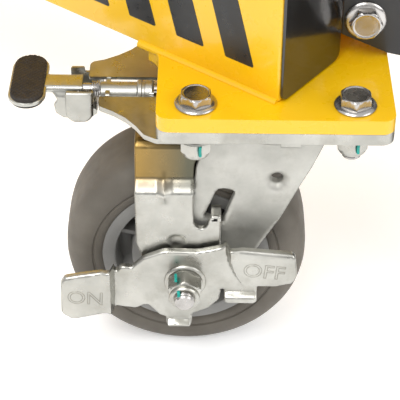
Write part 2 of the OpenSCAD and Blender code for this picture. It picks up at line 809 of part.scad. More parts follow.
module lock_lever(s) {
    arm_side = [
        [-20, 13], [-20, 8], [-10, -6], [-4, -8], [2, -8], [2.6, -1], [1.6, 4], [-4, 5], [-6, 13]
    ];
    side_y = 9.4;
    sheet = 2;
    top_z = [11, 11 + sheet];
    head_y = 14.2;                          // inner face of each rivet head, clear of the ears
    head_t = 1.8;
    color(ZINC) corner(s) translate([pivot_x, 0, pivot_z]) union() {
        for (y = [-side_y, side_y - sheet]) plate_xz(arm_side, y, y + sheet);
        block([-24, -side_y, top_z[0]], [-9, side_y, top_z[1]]);
        translate([pedal_x, 0, top_z[0]]) linear_extrude(sheet) pedal_outline(0);
        block([-30, -7, top_z[0]], [-20, 7, top_z[1]]);
        rod_y(pin_r, -head_y - 1, head_y + 1);
        for (y = [-head_y - head_t, head_y]) rod_y(3.4, y, y + head_t);
    }
}

// Oval of the lock pedal, grown by d
module pedal_outline(d) {
    union() {
        square([2 * pedal_r + 2 * d, 2 * pedal_half], center = true);
        for (j = [-1, 1]) translate([0, pedal_half * j]) circle(r = pedal_r + d);
    }
}

module lock_pads(s) {
    color(BLACK) corner(s) translate([pivot_x + pedal_x, 0, pivot_z]) {
        translate([0, 0, 13]) linear_extrude(2.4) pedal_outline(0.3);
        difference() {
            translate([0, 0, 9]) linear_extrude(2) pedal_outline(-0.4);
            block([2.5, -20, 0], [20, 20, 12]);
        }
    }
}

base_plate(-1);  // base_plate_r
leg(-1);  // leg_r
end_cap(-1);  // end_cap_r
arm(-1);  // arm_r
roller(-1);  // roller_r
roller_shaft(-1);  // roller_shaft_r
tip_core(-1);  // tip_core_r
tip_tyre(-1);  // tip_tyre_r
tip_axle(-1);  // tip_axle_r
top_plate(-1);  // top_plate_r
lock_bracket(-1);  // lock_bracket_r
kingpin(-1);  // kingpin_r
ball_race(-1);  // ball_race_r
fork(-1);  // fork_r
axle_bolt(-1);  // axle_bolt_r
axle_nut(-1);  // axle_nut_r
brake_saddle(-1);  // brake_saddle_r
brake_lever(-1);  // brake_lever_r
wheel_core(-1);  // wheel_core_r
tyre(-1);  // tyre_r
hub_bearing(-1);  // hub_bearing_r
lock_plunger(-1);  // lock_plunger_r
lock_spring(-1);  // lock_spring_r
lock_lever(-1);  // lock_lever_r
lock_pads(-1);  // lock_pads_r
base_plate(1);  // base_plate_l
leg(1);  // leg_l
end_cap(1);  // end_cap_l
arm(1);  // arm_l
roller(1);  // roller_l
roller_shaft(1);  // roller_shaft_l
tip_core(1);  // tip_core_l
tip_tyre(1);  // tip_tyre_l
tip_axle(1);  // tip_axle_l
top_plate(1);  // top_plate_l
lock_bracket(1);  // lock_bracket_l
kingpin(1);  // kingpin_l
ball_race(1);  // ball_race_l
fork(1);  // fork_l
axle_bolt(1);  // axle_bolt_l
axle_nut(1);  // axle_nut_l
brake_saddle(1);  // brake_saddle_l
brake_lever(1);  // brake_lever_l
wheel_core(1);  // wheel_core_l
tyre(1);  // tyre_l
hub_bearing(1);  // hub_bearing_l
lock_plunger(1);  // lock_plunger_l
lock_spring(1);  // lock_spring_l
lock_lever(1);  // lock_lever_l
lock_pads(1);  // lock_pads_l
crossbeam();
apex_socket();
mast();
handle_bar();
grips();
mast_bolts();
caster_bolts();
caster_nuts();
arm_bolts();
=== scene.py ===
"""Looks for the wheel dolly: materials, rounded edges and fine pieces around the CAD frame."""
import json
import math

import bmesh
import bpy
import numpy as np
from mathutils import Matrix, Vector


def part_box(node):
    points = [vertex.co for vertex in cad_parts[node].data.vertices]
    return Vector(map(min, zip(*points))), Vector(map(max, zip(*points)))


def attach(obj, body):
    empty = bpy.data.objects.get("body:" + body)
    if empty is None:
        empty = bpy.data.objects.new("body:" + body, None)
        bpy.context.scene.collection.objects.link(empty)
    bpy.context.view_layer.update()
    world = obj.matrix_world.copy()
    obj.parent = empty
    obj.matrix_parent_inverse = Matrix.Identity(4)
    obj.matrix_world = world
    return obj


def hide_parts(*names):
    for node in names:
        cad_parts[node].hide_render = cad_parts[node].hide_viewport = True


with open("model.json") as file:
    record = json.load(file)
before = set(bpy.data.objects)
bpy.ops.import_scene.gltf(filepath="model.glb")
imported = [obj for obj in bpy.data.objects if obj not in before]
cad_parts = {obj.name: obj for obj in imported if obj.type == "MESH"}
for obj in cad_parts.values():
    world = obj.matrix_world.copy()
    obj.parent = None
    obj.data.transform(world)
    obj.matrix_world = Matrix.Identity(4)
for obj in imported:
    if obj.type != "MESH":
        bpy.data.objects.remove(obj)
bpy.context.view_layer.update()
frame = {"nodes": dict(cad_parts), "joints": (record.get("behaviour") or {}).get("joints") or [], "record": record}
MM = 0.001
scene = bpy.context.scene
scene.view_settings.view_transform = "Standard"


# ---- Where things are, from the frame ----------------------------------------------------

def centre(node):
    low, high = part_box(node)
    return (low + high) / 2


def joint(name):
    return next(j for j in frame["joints"] if j["name"] == name)


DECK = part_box("base_plate_r")[1].z
SWIVEL = Vector(joint("swivel_r")["pos_m"])
AXLE = Vector(joint("wheel_spin_r")["pos_m"])


# ---- Camera, light and floor -------------------------------------------------------------

def add_camera():
    """The photograph's view: over the near corner, a long lens looking down along +Y.

    The lens comes from the fitted focal length, 1515 units for a picture 400 units wide."""
    target = Vector((SWIVEL.x, SWIVEL.y, DECK))
    eye = target + Vector((-31.1, -631.1, 417.3)) * MM
    pitch, yaw, roll = (math.radians(a) for a in (38.76, -0.45, 0.41))
    ahead = Vector((math.sin(yaw) * math.cos(pitch), math.cos(yaw) * math.cos(pitch),
                    -math.sin(pitch)))
    right = Vector((math.cos(yaw), -math.sin(yaw), 0))
    up = right.cross(ahead)
    side = right * math.cos(roll) + up * math.sin(roll)
    top = up * math.cos(roll) - right * math.sin(roll)
    cam = bpy.data.cameras.new("camera")
    cam.sensor_width = 36
    cam.lens = 36 * 1515 / 400
    cam.clip_end = 50
    obj = bpy.data.objects.new("camera", cam)
    rotation = Matrix((side, top, -ahead)).transposed().to_4x4()
    obj.matrix_world = Matrix.Translation(eye) @ rotation
    scene.collection.objects.link(obj)
    scene.camera = obj


def add_light(name, place, size, power):
    data = bpy.data.lights.new(name, "AREA")
    data.shape = "RECTANGLE"
    data.size, data.size_y = size
    data.energy = power
    obj = bpy.data.objects.new(name, data)
    obj.location = place
    aim = Vector((0, 0, 0.2)) - Vector(place)
    obj.rotation_euler = aim.to_track_quat("-Z", "Y").to_euler()
    scene.collection.objects.link(obj)


def add_world():
    """White studio, darker toward and below the horizon, so plated edges have something to show."""
    world = bpy.data.worlds.new("studio")
    world.use_nodes = True
    up = add_node(world, "SeparateXYZ",
                  Vector=add_node(world, "TexCoord").outputs["Generated"]).outputs["Z"]
    levels = [(place, (level,) * 3) for place, level in ((0, 0.44), (0.32, 0.66), (0.62, 1.08))]
    feed(world, world.node_tree.nodes["Background"], Color=ramp(world, up, levels), Strength=0.9)
    scene.world = world


def add_floor():
    mesh = bpy.data.meshes.new("floor")
    mesh.from_pydata([(-8, -8, 0), (8, -8, 0), (8, 8, 0), (-8, 8, 0)], [], [(0, 1, 2, 3)])
    obj = bpy.data.objects.new("floor", mesh)
    scene.collection.objects.link(obj)
    mat = new_material("floor_white")
    finish(mat, Base_Color=(0.9, 0.9, 0.9, 1), Roughness=0.9, Emission_Color=(1, 1, 1, 1),
           Emission_Strength=0.3)
    mesh.materials.append(mat)


# ---- Materials ---------------------------------------------------------------------------

def new_material(name):
    mat = bpy.data.materials.new(name)
    mat.use_nodes = True
    return mat


def feed(owner, node, **sockets):
    """Set or link a node's inputs: another node's output is linked, anything else is set.

    An underscore stands for the space in a socket's name."""
    for name, value in sockets.items():
        socket = node.inputs[name.replace("_", " ")]
        if isinstance(value, bpy.types.NodeSocket):
            owner.node_tree.links.new(value, socket)
        else:
            socket.default_value = value
    return node


def add_node(owner, kind, **sockets):
    return feed(owner, owner.node_tree.nodes.new("ShaderNode" + kind), **sockets)


def finish(mat, **sockets):
    """Set or link the inputs of the material's shader."""
    feed(mat, mat.node_tree.nodes["Principled BSDF"], **sockets)


def coords(mat, scale):
    """Object coordinates in metres, multiplied by scale."""
    where = add_node(mat, "TexCoord").outputs["Object"]
    scale = scale if hasattr(scale, "__len__") else (scale,) * 3
    return add_node(mat, "Mapping", Vector=where, Scale=scale).outputs["Vector"]


def noise(mat, scale, detail=3, roughness=0.5):
    return add_node(mat, "TexNoise", Vector=coords(mat, scale), Scale=1, Detail=detail,
                    Roughness=roughness).outputs["Fac"]


def ramp(owner, value, stops):
    """Colour ramp of (position, colour) stops on a value, in a material or the world."""
    node = add_node(owner, "ValToRGB", Fac=value)
    elements = node.color_ramp.elements
    while len(elements) < len(stops):
        elements.new(0.5)
    for element, (position, colour) in zip(elements, stops):
        element.position = position
        element.color = (*colour, 1)
    return node.outputs["Color"]


def spread(mat, value, low, high, start=0.3, end=0.7):
    """A value mapped from the span start to end onto low to high."""
    return add_node(mat, "MapRange", Value=value, From_Min=start, From_Max=end, To_Min=low,
                    To_Max=high).outputs["Result"]


def blend(mat, share, first, second):
    """Colour that goes from first to second as share goes from 0 to 1."""
    node = add_node(mat, "Mix")
    node.data_type = "RGBA"
    return feed(mat, node, Factor=share, A=first, B=second).outputs["Result"]


def bump(mat, height, strength, distance):
    return add_node(mat, "Bump", Height=height, Strength=strength,
                    Distance=distance).outputs["Normal"]


def powder_coat(name, low, high, rough, coat):
    """Sprayed coat: slight colour drift, orange peel and a clear gloss."""
    mat = new_material(name)
    finish(mat, Base_Color=ramp(mat, noise(mat, 18, 2), [(0.3, low), (0.7, high)]),
           Roughness=spread(mat, noise(mat, 90, 3), rough - 0.05, rough + 0.07),
           Coat_Weight=coat, Coat_Roughness=0.08,
           Normal=bump(mat, noise(mat, 420, 2), 0.12, 0.0004))
    return mat


def plated(name, low, high, rough, warm=None, metallic=1):
    """Bright plated steel: cloudy reflections, rolling marks and faint stains.

    The fifth argument paints a zone of light and shade into the colour: its colours at two places
    along X, then the two heights it fades in between and those two places."""
    mat = new_material(name)
    cloudy = ramp(mat, noise(mat, 35, 5, 0.6), [(0.32, low), (0.68, high)])
    stains = ramp(mat, noise(mat, 42, 8, 0.7), [(0.52, (0, 0, 0)), (0.74, (0.42, 0.42, 0.42))])
    colour = blend(mat, stains, cloudy, (low[0] * 0.55, low[1] * 0.5, low[2] * 0.42, 1))
    # Painted light and shade: a painted shadow colour and a painted reflection colour along X, blended over the
    # plated colour above a band of heights.
    if warm:
        near, far, heights, ends = warm
        split = add_node(mat, "SeparateXYZ", Vector=coords(mat, 1)).outputs
        painted_colour = ramp(mat, spread(mat, split["X"], 0, 1, *ends), [(0, near), (1, far)])
        colour = blend(mat, spread(mat, split["Z"], 0, 1, *heights), colour, painted_colour)
    finish(mat, Metallic=metallic, Base_Color=colour,
           Roughness=spread(mat, noise(mat, 120, 6, 0.65), rough - 0.08, rough + 0.14),
           Normal=bump(mat, noise(mat, (80, 80, 200), 2), 0.03, 0.0005))
    return mat


def moulded(name, low, high, rough, grain=900, depth=0.25):
    """Moulded rubber or plastic with a fine grain."""
    mat = new_material(name)
    finish(mat, Base_Color=ramp(mat, noise(mat, 45, 4), [(0.3, low), (0.7, high)]),
           Roughness=spread(mat, noise(mat, 200, 3), rough - 0.06, rough + 0.08),
           Normal=bump(mat, noise(mat, grain, 3), depth, 0.0003))
    return mat


ZINC = ((0.385, 0.38, 0.346), (0.54, 0.532, 0.49))
# Painted light on the saddle's upper panel: a dark painted shadow from the caster plate above, near the swivel,
# turning into a tan painted reflection of the yellow deck further back; both fade in above the panel's bend.
SADDLE_PAINTED_LIGHT = ((0.125, 0.122, 0.088), (0.33, 0.215, 0.07), (DECK - 0.0560, DECK - 0.0500),
             (SWIVEL.x - 0.0420, SWIVEL.x - 0.0660))
# The nine slots of the record, then looks that only some pieces of a slot have.
MATERIALS = {name: make(name, *look) for name, make, *look in (
    ("yellow_coat", powder_coat, (0.81, 0.465, 0.002), (0.85, 0.495, 0.003), 0.28, 0.5),
    ("black_gloss", powder_coat, (0.007, 0.006, 0.005), (0.010, 0.009, 0.008), 0.14, 0.7),
    ("black_coat", powder_coat, (0.012, 0.012, 0.013), (0.02, 0.02, 0.02), 0.42, 0.12),
    ("roller_steel", plated, (0.5, 0.5, 0.5), (0.62, 0.62, 0.62), 0.3),
    ("bolt_steel", plated, (0.40, 0.385, 0.37), (0.58, 0.56, 0.54), 0.2),
    ("zinc_plate", plated, *ZINC, 0.3),
    ("core_plastic", moulded, (0.205, 0.20, 0.19), (0.265, 0.26, 0.245), 0.45),
    ("grey_rubber", moulded, (0.094, 0.082, 0.065), (0.136, 0.120, 0.097), 0.6),
    ("black_rubber", moulded, (0.010, 0.009, 0.009), (0.020, 0.018, 0.017), 0.6, 1500, 0.5),
    ("engraved", plated, (0.30, 0.29, 0.25), (0.40, 0.39, 0.35), 0.4),
    ("saddle_zinc", plated, (0.40, 0.395, 0.36), (0.56, 0.552, 0.51), 0.3, SADDLE_PAINTED_LIGHT),
    ("fork_zinc", plated, *ZINC, 0.42, None, 0.7),
    ("pad_brown", moulded, (0.012, 0.008, 0.006), (0.022, 0.015, 0.010), 0.55, 1500, 0.4),
    ("paint_mark", moulded, (0, 0.27, 0.22), (0, 0.36, 0.30), 0.4, 600, 0.2),
    ("decal", moulded, (0.012, 0.012, 0.012), (0.020, 0.020, 0.020), 0.3, 300, 0.05),
    ("bolt_mark", plated, (0.24, 0.225, 0.20), (0.42, 0.40, 0.36), 0.24))}


# ---- Shape tools -------------------------------------------------------------------------

def rounded(points, radius, steps=5):
    """The outline with each corner replaced by an arc; radius is one number or one per corner."""
    radii = radius if hasattr(radius, "__len__") else [radius] * len(points)
    out = []
    for i, here in enumerate(points):
        p = Vector(here)
        before = Vector(points[i - 1]) - p
        after = Vector(points[(i + 1) % len(points)]) - p
        reach = min(before.length, after.length) * 0.48
        half = before.angle(after) / 2
        r = min(radii[i], reach * math.tan(half))
        if r < 0.05 or half > 1.54:
            out.append(tuple(p))
            continue
        cut = r / math.tan(half)
        start, end = p + before.normalized() * cut, p + after.normalized() * cut
        mid = p + (before.normalized() + after.normalized()).normalized() * (r / math.sin(half))
        a, b = start - mid, end - mid
        sweep = a.angle_signed(b)
        for k in range(steps + 1):
            turn = -sweep * k / steps
            c, q = math.cos(turn), math.sin(turn)
            out.append((mid.x + a.x * c - a.y * q, mid.y + a.x * q + a.y * c))
    return out


def ease(value, low, high):
    """Smooth step from 0 at low to 1 at high."""
    t = max(0, min(1, (value - low) / (high - low)))
    return t * t * (3 - 2 * t)


def circle(cx, cy, r):
    turn = math.pi / 12
    return [(cx + r * math.cos(i * turn), cy + r * math.sin(i * turn)) for i in range(24)]


def rectangle(u0, v0, u1, v1):
    return [(u0, v0), (u1, v0), (u1, v1), (u0, v1)]


def edge_distance(points, loops):
    """Distance of each point of a flat mesh to the nearest outline."""
    points = np.array(points)
    best = np.full(len(points), 1e9)
    for loop in loops:
        for a, b in zip(np.array(loop), np.roll(np.array(loop), -1, axis=0)):
            along = b - a
            share = np.clip(((points - a) @ along) / max(along @ along, 1e-9), 0, 1)
            gap = points - (a + share[:, None] * along)
            best = np.minimum(best, np.hypot(gap[:, 0], gap[:, 1]))
    return best


def finished(bm, name):
    """The edited mesh with its normals facing outward."""
    bmesh.ops.recalc_face_normals(bm, faces=bm.faces)
    mesh = bpy.data.meshes.new(name)
    bm.to_mesh(mesh)
    bm.free()
    return mesh


def skin(rows, count, closed=False):
    """Faces between rings of count points, and back to the first ring if closed."""
    pairs = [(i, (i + 1) % rows) for i in range(rows if closed else rows - 1)]
    return [(i * count + k, i * count + (k + 1) % count, j * count + (k + 1) % count,
             j * count + k) for i, j in pairs for k in range(count)]


def caps(rows, count):
    return [tuple(range(count)), tuple(range((rows - 1) * count, rows * count))]


def from_points(name, verts, faces, merge=False):
    """Mesh from world points and faces; merge joins points that coincide."""
    mesh = bpy.data.meshes.new(name)
    mesh.from_pydata([tuple(v) for v in verts], [], faces)
    bm = bmesh.new()
    bm.from_mesh(mesh)
    bpy.data.meshes.remove(mesh)
    if merge:
        bmesh.ops.remove_doubles(bm, verts=bm.verts, dist=1e-7)
    return finished(bm, name)


def pressed_sheet(outline, holes, thick, relief, place, step=1.5, edge=0.5):
    """Mesh of a pressed sheet: a flat outline with holes, its outer face raised to relief(u, v).

    place(u, height, v) gives the world point in metres; the other numbers are millimetres.
    edge is the radius rolled onto the outer face along every outline."""
    bm = bmesh.new()
    loops = [outline, *holes]
    edges = []
    for loop in loops:
        verts = [bm.verts.new((u, 0, v)) for u, v in loop]
        edges += [bm.edges.new((verts[i - 1], verts[i])) for i in range(len(verts))]
    bmesh.ops.triangle_fill(bm, edges=edges, use_beauty=True, use_dissolve=False)
    for share in (0.08, 0.22, 0.34, 0.36):
        bmesh.ops.inset_region(bm, faces=bm.faces[:], thickness=edge * share, use_boundary=True,
                               use_even_offset=True)
    for axis in (0, 2):
        values = [v.co[axis] for v in bm.verts]
        cut = min(values) + step
        while cut < max(values):
            spot, normal = [0, 0, 0], [0, 0, 0]
            spot[axis], normal[axis] = cut, 1
            geom = bm.verts[:] + bm.edges[:] + bm.faces[:]
            bmesh.ops.bisect_plane(bm, geom=geom, plane_co=spot, plane_no=normal, dist=1e-4)
            cut += step
    grown = bmesh.ops.extrude_face_region(bm, geom=bm.faces[:])["geom"]
    inner = {v for v in grown if isinstance(v, bmesh.types.BMVert)}
    reach = edge_distance([(v.co.x, v.co.z) for v in bm.verts], loops)
    for v, d in zip(bm.verts, reach):
        inside = edge - min(d, edge)
        drop = edge - math.sqrt(max(edge * edge - inside * inside, 0))
        height = relief(v.co.x, v.co.z) - (thick if v in inner else drop)
        v.co = place(v.co.x, height, v.co.z)
    return finished(bm, "sheet")


def turned(profile, place, segments=64, hex_flats=0, start=0):
    """Mesh of a turned solid. profile is (height, radius) or (height, radius, True) where the
    radius is cut to a hexagon hex_flats across. place(a, b, height) gives the world point."""
    verts = []
    for station in profile:
        height, radius = station[:2]
        for i in range(segments):
            angle = start + 2 * math.pi * i / segments
            r = radius
            if len(station) > 2:
                within = (2 * math.pi * i / segments) % (math.pi / 3) - math.pi / 6
                r = min(radius, hex_flats / 2 / math.cos(within))
            verts.append(place(r * math.cos(angle), r * math.sin(angle), height))
    faces = skin(len(profile), segments)
    if profile[0][:2] != profile[-1][:2]:
        faces += caps(len(profile), segments)
    return from_points("turned", verts, faces, True)


def baked(obj):
    """The object's mesh as its modifiers or its text settings leave it."""
    bpy.context.view_layer.update()
    return bpy.data.meshes.new_from_object(
        obj.evaluated_get(bpy.context.evaluated_depsgraph_get()))


def drilled(mesh, cutters):
    """The mesh with each cutter's shape taken out of it."""
    for cutter in cutters:
        pair = [bpy.data.objects.new("cut", data) for data in (mesh, cutter)]
        for obj in pair:
            scene.collection.objects.link(obj)
        cut = pair[0].modifiers.new("cut", "BOOLEAN")
        cut.object = pair[1]
        cut.solver = "EXACT"
        mesh = baked(pair[0])
        for obj in pair:
            bpy.data.objects.remove(obj)
    return mesh


def tube_along(points, radius, sides=10, closed=False, ripple=0):
    """Mesh of a round tube that follows a list of world points, in metres.

    ripple makes every third ring thicker by that share, as a weld bead has."""
    verts = []
    count = len(points)
    normal = Vector((0, 0, 1))
    for i, here in enumerate(points):
        ahead = points[(i + 1) % count] if closed or i < count - 1 else here
        behind = points[i - 1] if closed or i > 0 else here
        tangent = (ahead - behind).normalized()
        normal = normal - tangent * normal.dot(tangent)
        if normal.length < 1e-6:
            normal = tangent.orthogonal()
        normal.normalize()
        other = tangent.cross(normal)
        for k in range(sides):
            angle = 2 * math.pi * k / sides
            r = radius * (1 + (ripple if i % 3 == 0 else 0))
            verts.append(here + (normal * math.cos(angle) + other * math.sin(angle)) * r)
    faces = skin(count, sides, closed) + ([] if closed else caps(count, sides))
    return from_points("tube", verts, faces)


def piece(name, mesh, body, slot, stands_for=(), look=None):
    """Add a finished piece: material, smooth shading, and the body it rides on.

    stands_for names the CAD nodes it replaces; look is a material other than the slot's own."""
    mesh.name = name
    obj = bpy.data.objects.new(name, mesh)
    scene.collection.objects.link(obj)
    mesh.materials.append(MATERIALS[look or slot])
    mesh.shade_smooth()
    mesh.set_sharp_from_angle(angle=math.radians(32))
    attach(obj, body)
    if stands_for:
        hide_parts(*stands_for)


# ---- Frames of reference for pieces, one function per side -------------------------------

def wheel_place(side):
    """(u forward, out from the wheel's middle plane, v up) from the axle's centre, in mm."""
    def place(u, out, v):
        return Vector((AXLE.x + u * MM, side * (abs(AXLE.y) + out * MM), AXLE.z + v * MM))
    return place


def corner_place(side):
    """(x forward, y inward, z up from the deck) from the swivel axis, in mm."""
    def place(x, y, z):
        return Vector((SWIVEL.x + x * MM, side * (abs(SWIVEL.y) - y * MM), DECK + z * MM))
    return place


def about_axle(side, flip=1):
    """Place for a solid turned about the axle; its height runs outward, or inward if flipped."""
    base = wheel_place(side)
    return lambda a, b, h: base(a, flip * h, b)


# ---- Fasteners ---------------------------------------------------------------------------

# Turned profiles are (height, radius), or (height, radius, True) where a hexagon is cut.
HEX_SMALL, HEX_AXLE = 14.3, 17.0      # across the flats: 3/8 in bolts, M10 axle
SMALL_THREAD, AXLE_THREAD = (4.75, 1.59), (5, 1.5)    # radius and pitch
BOLT_HALF = 38.1                      # half the bolt spacing of a caster plate
PLATE_FACE = 14.25                    # depth below the deck of the caster plate's underside
WING = 3.0                            # thickness of the lock bracket's near wing
CORNER_UP = math.radians(30)

FLANGE_BOLT = [(0, 0.01), (0, 10), (0.9, 10.3), (1.3, 10), (2, 9), (2.1, 8.26, True),
               (5.5, 8.26, True), (6.2, 7.8, True), (6.65, 7.2, True), (6.8, 6.8), (6.78, 6.5),
               (6.55, 6.2), (6.45, 5.4), (6.4, 0.01)]
BOLT_DISH = [(6.42, 0.01), (6.42, 3.2), (6.5, 3.4), (6.5, 3.8), (6.44, 4), (6.44, 5.2),
             (6.52, 5.9)]
COLLAR_NUT = [(0, 0.01), (0, 9.6), (0.7, 10), (1.2, 9.7), (2, 8.8), (2.1, 8.26, True),
              (8.2, 8.26, True), (8.9, 7.8, True), (9.3, 7.2), (10.8, 7), (11.6, 6.5),
              (11.9, 5.9), (11.9, 5.2), (11.4, 4.9), (11.4, 0.01)]
HEX_HEAD = [(0, 0.01), (0, 9.4), (1, 9.4), (1.2, 8.26, True), (6.6, 8.26, True),
            (7.2, 7.7, True), (7.6, 6.9, True), (7.7, 6.2), (7.6, 0.01)]
AXLE_NUT = [(44.8, 0.01), (44.8, 9.2), (45.2, 9.6), (45.9, 9.6), (46, 9.81, True),
            (52.6, 9.81, True), (53.8, 9.3, True), (54.5, 8.6, True), (54.8, 7.9), (56.4, 7.7),
            (57, 7.2), (57.1, 6.5), (56.8, 5.4), (56.4, 5.1), (56.4, 0.01)]
AXLE_HEAD = [(32, 0.01), (32, 9.4), (32.8, 9.4), (33, 9.81, True), (37.6, 9.81, True),
             (38.2, 9.2, True), (38.6, 8.4, True), (38.7, 7.6), (38.5, 0.01)]


def thread(start, end, radius, pitch):
    """Profile of a threaded rod with a chamfered end."""
    profile = [(start, 0.01), (start, radius)]
    h = start + pitch / 2
    while h < end - pitch * 1.2:
        profile += [(h, radius - 0.28 * pitch), (h + pitch / 2, radius)]
        h += pitch
    return profile + [(end - 0.8, radius - 0.1), (end, radius - 0.8), (end - 0.02, 0.01)]


def caster_fasteners(tag, side):
    """Bolts, nuts and thread ends of a caster plate; the bolt under the leg is a stud."""
    base = corner_place(side)
    places = [(a * BOLT_HALF, b * BOLT_HALF) for a in (-1, 1) for b in (-1, 1)]
    for n, (x, y) in enumerate(places):
        first = n == 0 and side < 0
        stud = x < 0 < y
        if not stud:
            def up(a, b, h):
                return base(x + a, y + b, h)
            piece("caster_bolt_%d_%s" % (n, tag), turned(FLANGE_BOLT, up, 72, HEX_SMALL, CORNER_UP),
                  "frame", "bolt_steel", ["caster_bolts"] if first else [])
            piece("caster_bolt_dish_%d_%s" % (n, tag), turned(BOLT_DISH, up, 48), "frame",
                  "bolt_steel", look="bolt_mark")
        seat = -PLATE_FACE - (WING if x < 0 else 0)
        mesh = turned(COLLAR_NUT, lambda a, b, h: base(x + a, y + b, seat - h), 72, HEX_SMALL,
                      CORNER_UP)
        piece("caster_nut_%d_%s" % (n, tag), mesh, "frame", "zinc_plate",
              ["caster_nuts"] if first else [])
        mesh = turned(thread(-seat + 9, 29.6, *SMALL_THREAD),
                      lambda a, b, h: base(x + a, y + b, -h), 40)
        piece("caster_stud_%d_%s" % (n, tag), mesh, "frame", "bolt_steel")
        if y < 0:
            strip = [base(x + 2.4, y - 7.55, seat - 2.6), base(x + 2.2, y - 7.75, seat - 5.2),
                     base(x + 2.4, y - 7.35, seat - 8.6)]
            piece("nut_mark_%d_%s" % (n, tag), tube_along(strip, 0.75 * MM, 8), "frame",
                  "zinc_plate", look="paint_mark")


def axle_fasteners(tag, side):
    body = "caster_" + tag
    outward = about_axle(side)
    piece("axle_lock_nut_" + tag, turned(AXLE_NUT, outward, 72, HEX_AXLE, CORNER_UP), body,
          "zinc_plate", ["axle_nut_" + tag])
    piece("axle_thread_" + tag, turned(thread(53, 60.1, *AXLE_THREAD), outward, 48), body,
          "bolt_steel", ["axle_bolt_" + tag])
    piece("axle_head_" + tag, turned(AXLE_HEAD, about_axle(side, -1), 72, HEX_AXLE, CORNER_UP),
          body, "bolt_steel")
    marks = (((-4.7, 47.4, 8.7), (-4.6, 50.2, 8.8), (-4.5, 52.6, 8.7)),
             ((-3.2, 56.9, 5.9), (-2.9, 58, 4.4), (-2.9, 59.4, 4.1)))
    for n, line in enumerate(marks):
        strip = [wheel_place(side)(*p) for p in line]
        piece("axle_mark_%d_%s" % (n, tag), tube_along(strip, 0.8 * MM, 8), body, "zinc_plate",
              look="paint_mark")


def arm_fasteners(tag, side):
    base = corner_place(side)
    for n, (x, z) in enumerate([(x, z) for x in (44.4, 74.4) for z in (22, 53)]):
        mesh = turned(FLANGE_BOLT, lambda a, b, h: base(x + a, 4 - h, z + b), 72, HEX_SMALL)
        piece("arm_bolt_%d_%s" % (n, tag), mesh, "frame", "bolt_steel",
              ["arm_bolts"] if n == 0 and side < 0 else [])


# ---- Caster: rocker, saddle, fork --------------------------------------------------------

LEVER_OUT, PEDAL_OUT = 42.8, 50.5     # outer faces of the rocker and its pedals, from the wheel
PIVOT = (-90, -26)                    # swivel lock's lever pivot: forward, above the deck
LOCK_Z = -18.2                        # lock pin's axis above the deck
HOLE = (46, 58.6)                     # dimpled hole of the fork, from the axle


def lever_relief(u, v):
    """Outer face of the rocker, with its pedals stepped outward and its lips turned out."""
    rise = PEDAL_OUT - LEVER_OUT
    on_step = rise * ease(-u, 36.4, 38.8) - 1.2 * ease(v, 0.5, 9) * ease(-u, 40, 44)
    left = max(0, 31 - u) / 7
    past_edge = (v - 3.0 - 11.5 * left ** 2) / math.hypot(1, 23.0 / 7 * left)
    off_step = rise * ease(u, 20.2, 23.4) * ease(past_edge, -2, 1.4)
    off_roll = -1.3 * ease(v, 20, 27) * ease(u, 24, 30)
    flange = 3.2 * ease(-v, 25.8, 28.6) * (1 - ease(abs(u + 3.2), 5.5, 7.5))
    lip = 3.4 * ease(-v, 6.5, 9) * ease(u, 19.2, 20.8)
    return LEVER_OUT + max(on_step, 0) + off_step + off_roll + flange + lip


def brake_lever(tag, side):
    """Rocker with its ON and OFF pedals, and the rings around the axle on both of its faces."""
    body = "brake_pedal_" + tag
    outline = rounded([
        (-64, 3.6), (-62, 6.8), (-37, 11.4), (-36.6, 5), (-33, 9.4), (-27.4, 8.6),
        (-21.5, 15), (-10.8, 20), (6.6, 19.6), (19.3, 22.8), (22.6, 27), (56.2, 24.2),
        (57.6, 11), (55.4, 5.8), (45, 2.9), (37.6, -1.5), (37.4, -12.4), (20.6, -12.4),
        (20.3, -5.6), (18.9, -5.4), (17.8, -12.9), (12.5, -19.2), (3.7, -23.4), (3.7, -29.8),
        (-9.9, -30), (-10.1, -25.6), (-13.6, -24.2), (-20, -16.4), (-26.2, -19.7),
        (-37.6, -18), (-41.8, -16.6), (-58.7, -21.2), (-64.8, -17)
    ], [3, 3, 2, 1, 3, 3, 8, 10, 12, 6, 3, 3, 4, 3, 8, 3, 2.2, 1.4, 0.8, 0.8, 6, 8, 1.5, 2,
        2, 1.5, 3, 2.5, 5, 3, 3, 4, 4])
    mesh = pressed_sheet(outline, [circle(0, 0, 6)], 3.4, lever_relief, wheel_place(side),
                         0.9, 1.3)
    piece("brake_rocker_" + tag, mesh, body, "zinc_plate", ["brake_lever_" + tag])
    for name, ring in (
            ("boss", [(41.8, 6.1), (41.8, 11), (43.3, 11), (44, 10.5), (44.4, 9.7),
                      (44.4, 6.1), (41.8, 6.1)]),
            ("hub", [(32.5, 5.4), (32.5, 9.6), (33, 10), (39.6, 10), (39.6, 5.4),
                     (32.5, 5.4)])):
        piece("brake_%s_%s" % (name, tag), turned(ring, about_axle(side), 64), body,
              "zinc_plate")


def pedal_words(tag, side):
    """ON and OFF, pressed as thin outlines into the pedals."""
    place = wheel_place(side)
    for word, u, v, size, lean in (("ON", -51.6, -6, 12, -3), ("OFF", 40.5, 13.6, 12.4, -6)):
        data = bpy.data.curves.new(word.lower(), "FONT")
        data.body = word
        data.size = size * MM
        data.align_x = data.align_y = "CENTER"
        data.fill_mode = "NONE"
        data.bevel_depth = 0.22 * MM
        data.bevel_resolution = 1
        data.resolution_u = 6
        obj = bpy.data.objects.new("text", data)
        scene.collection.objects.link(obj)
        mesh = baked(obj)
        bpy.data.objects.remove(obj)
        turn = math.radians(lean)
        for vert in mesh.vertices:
            a, b = vert.co.x / MM * (-1 if side > 0 else 1), vert.co.y / MM
            x = a * math.cos(turn) - b * math.sin(turn)
            y = a * math.sin(turn) + b * math.cos(turn)
            face = lever_relief(u + x, v + y)
            vert.co = place(u + x, face + 0.02 + vert.co.z / MM, v + y)
        piece("pedal_word_%s_%s" % (word.lower(), tag), mesh, "brake_pedal_" + tag, "zinc_plate",
              look="engraved")


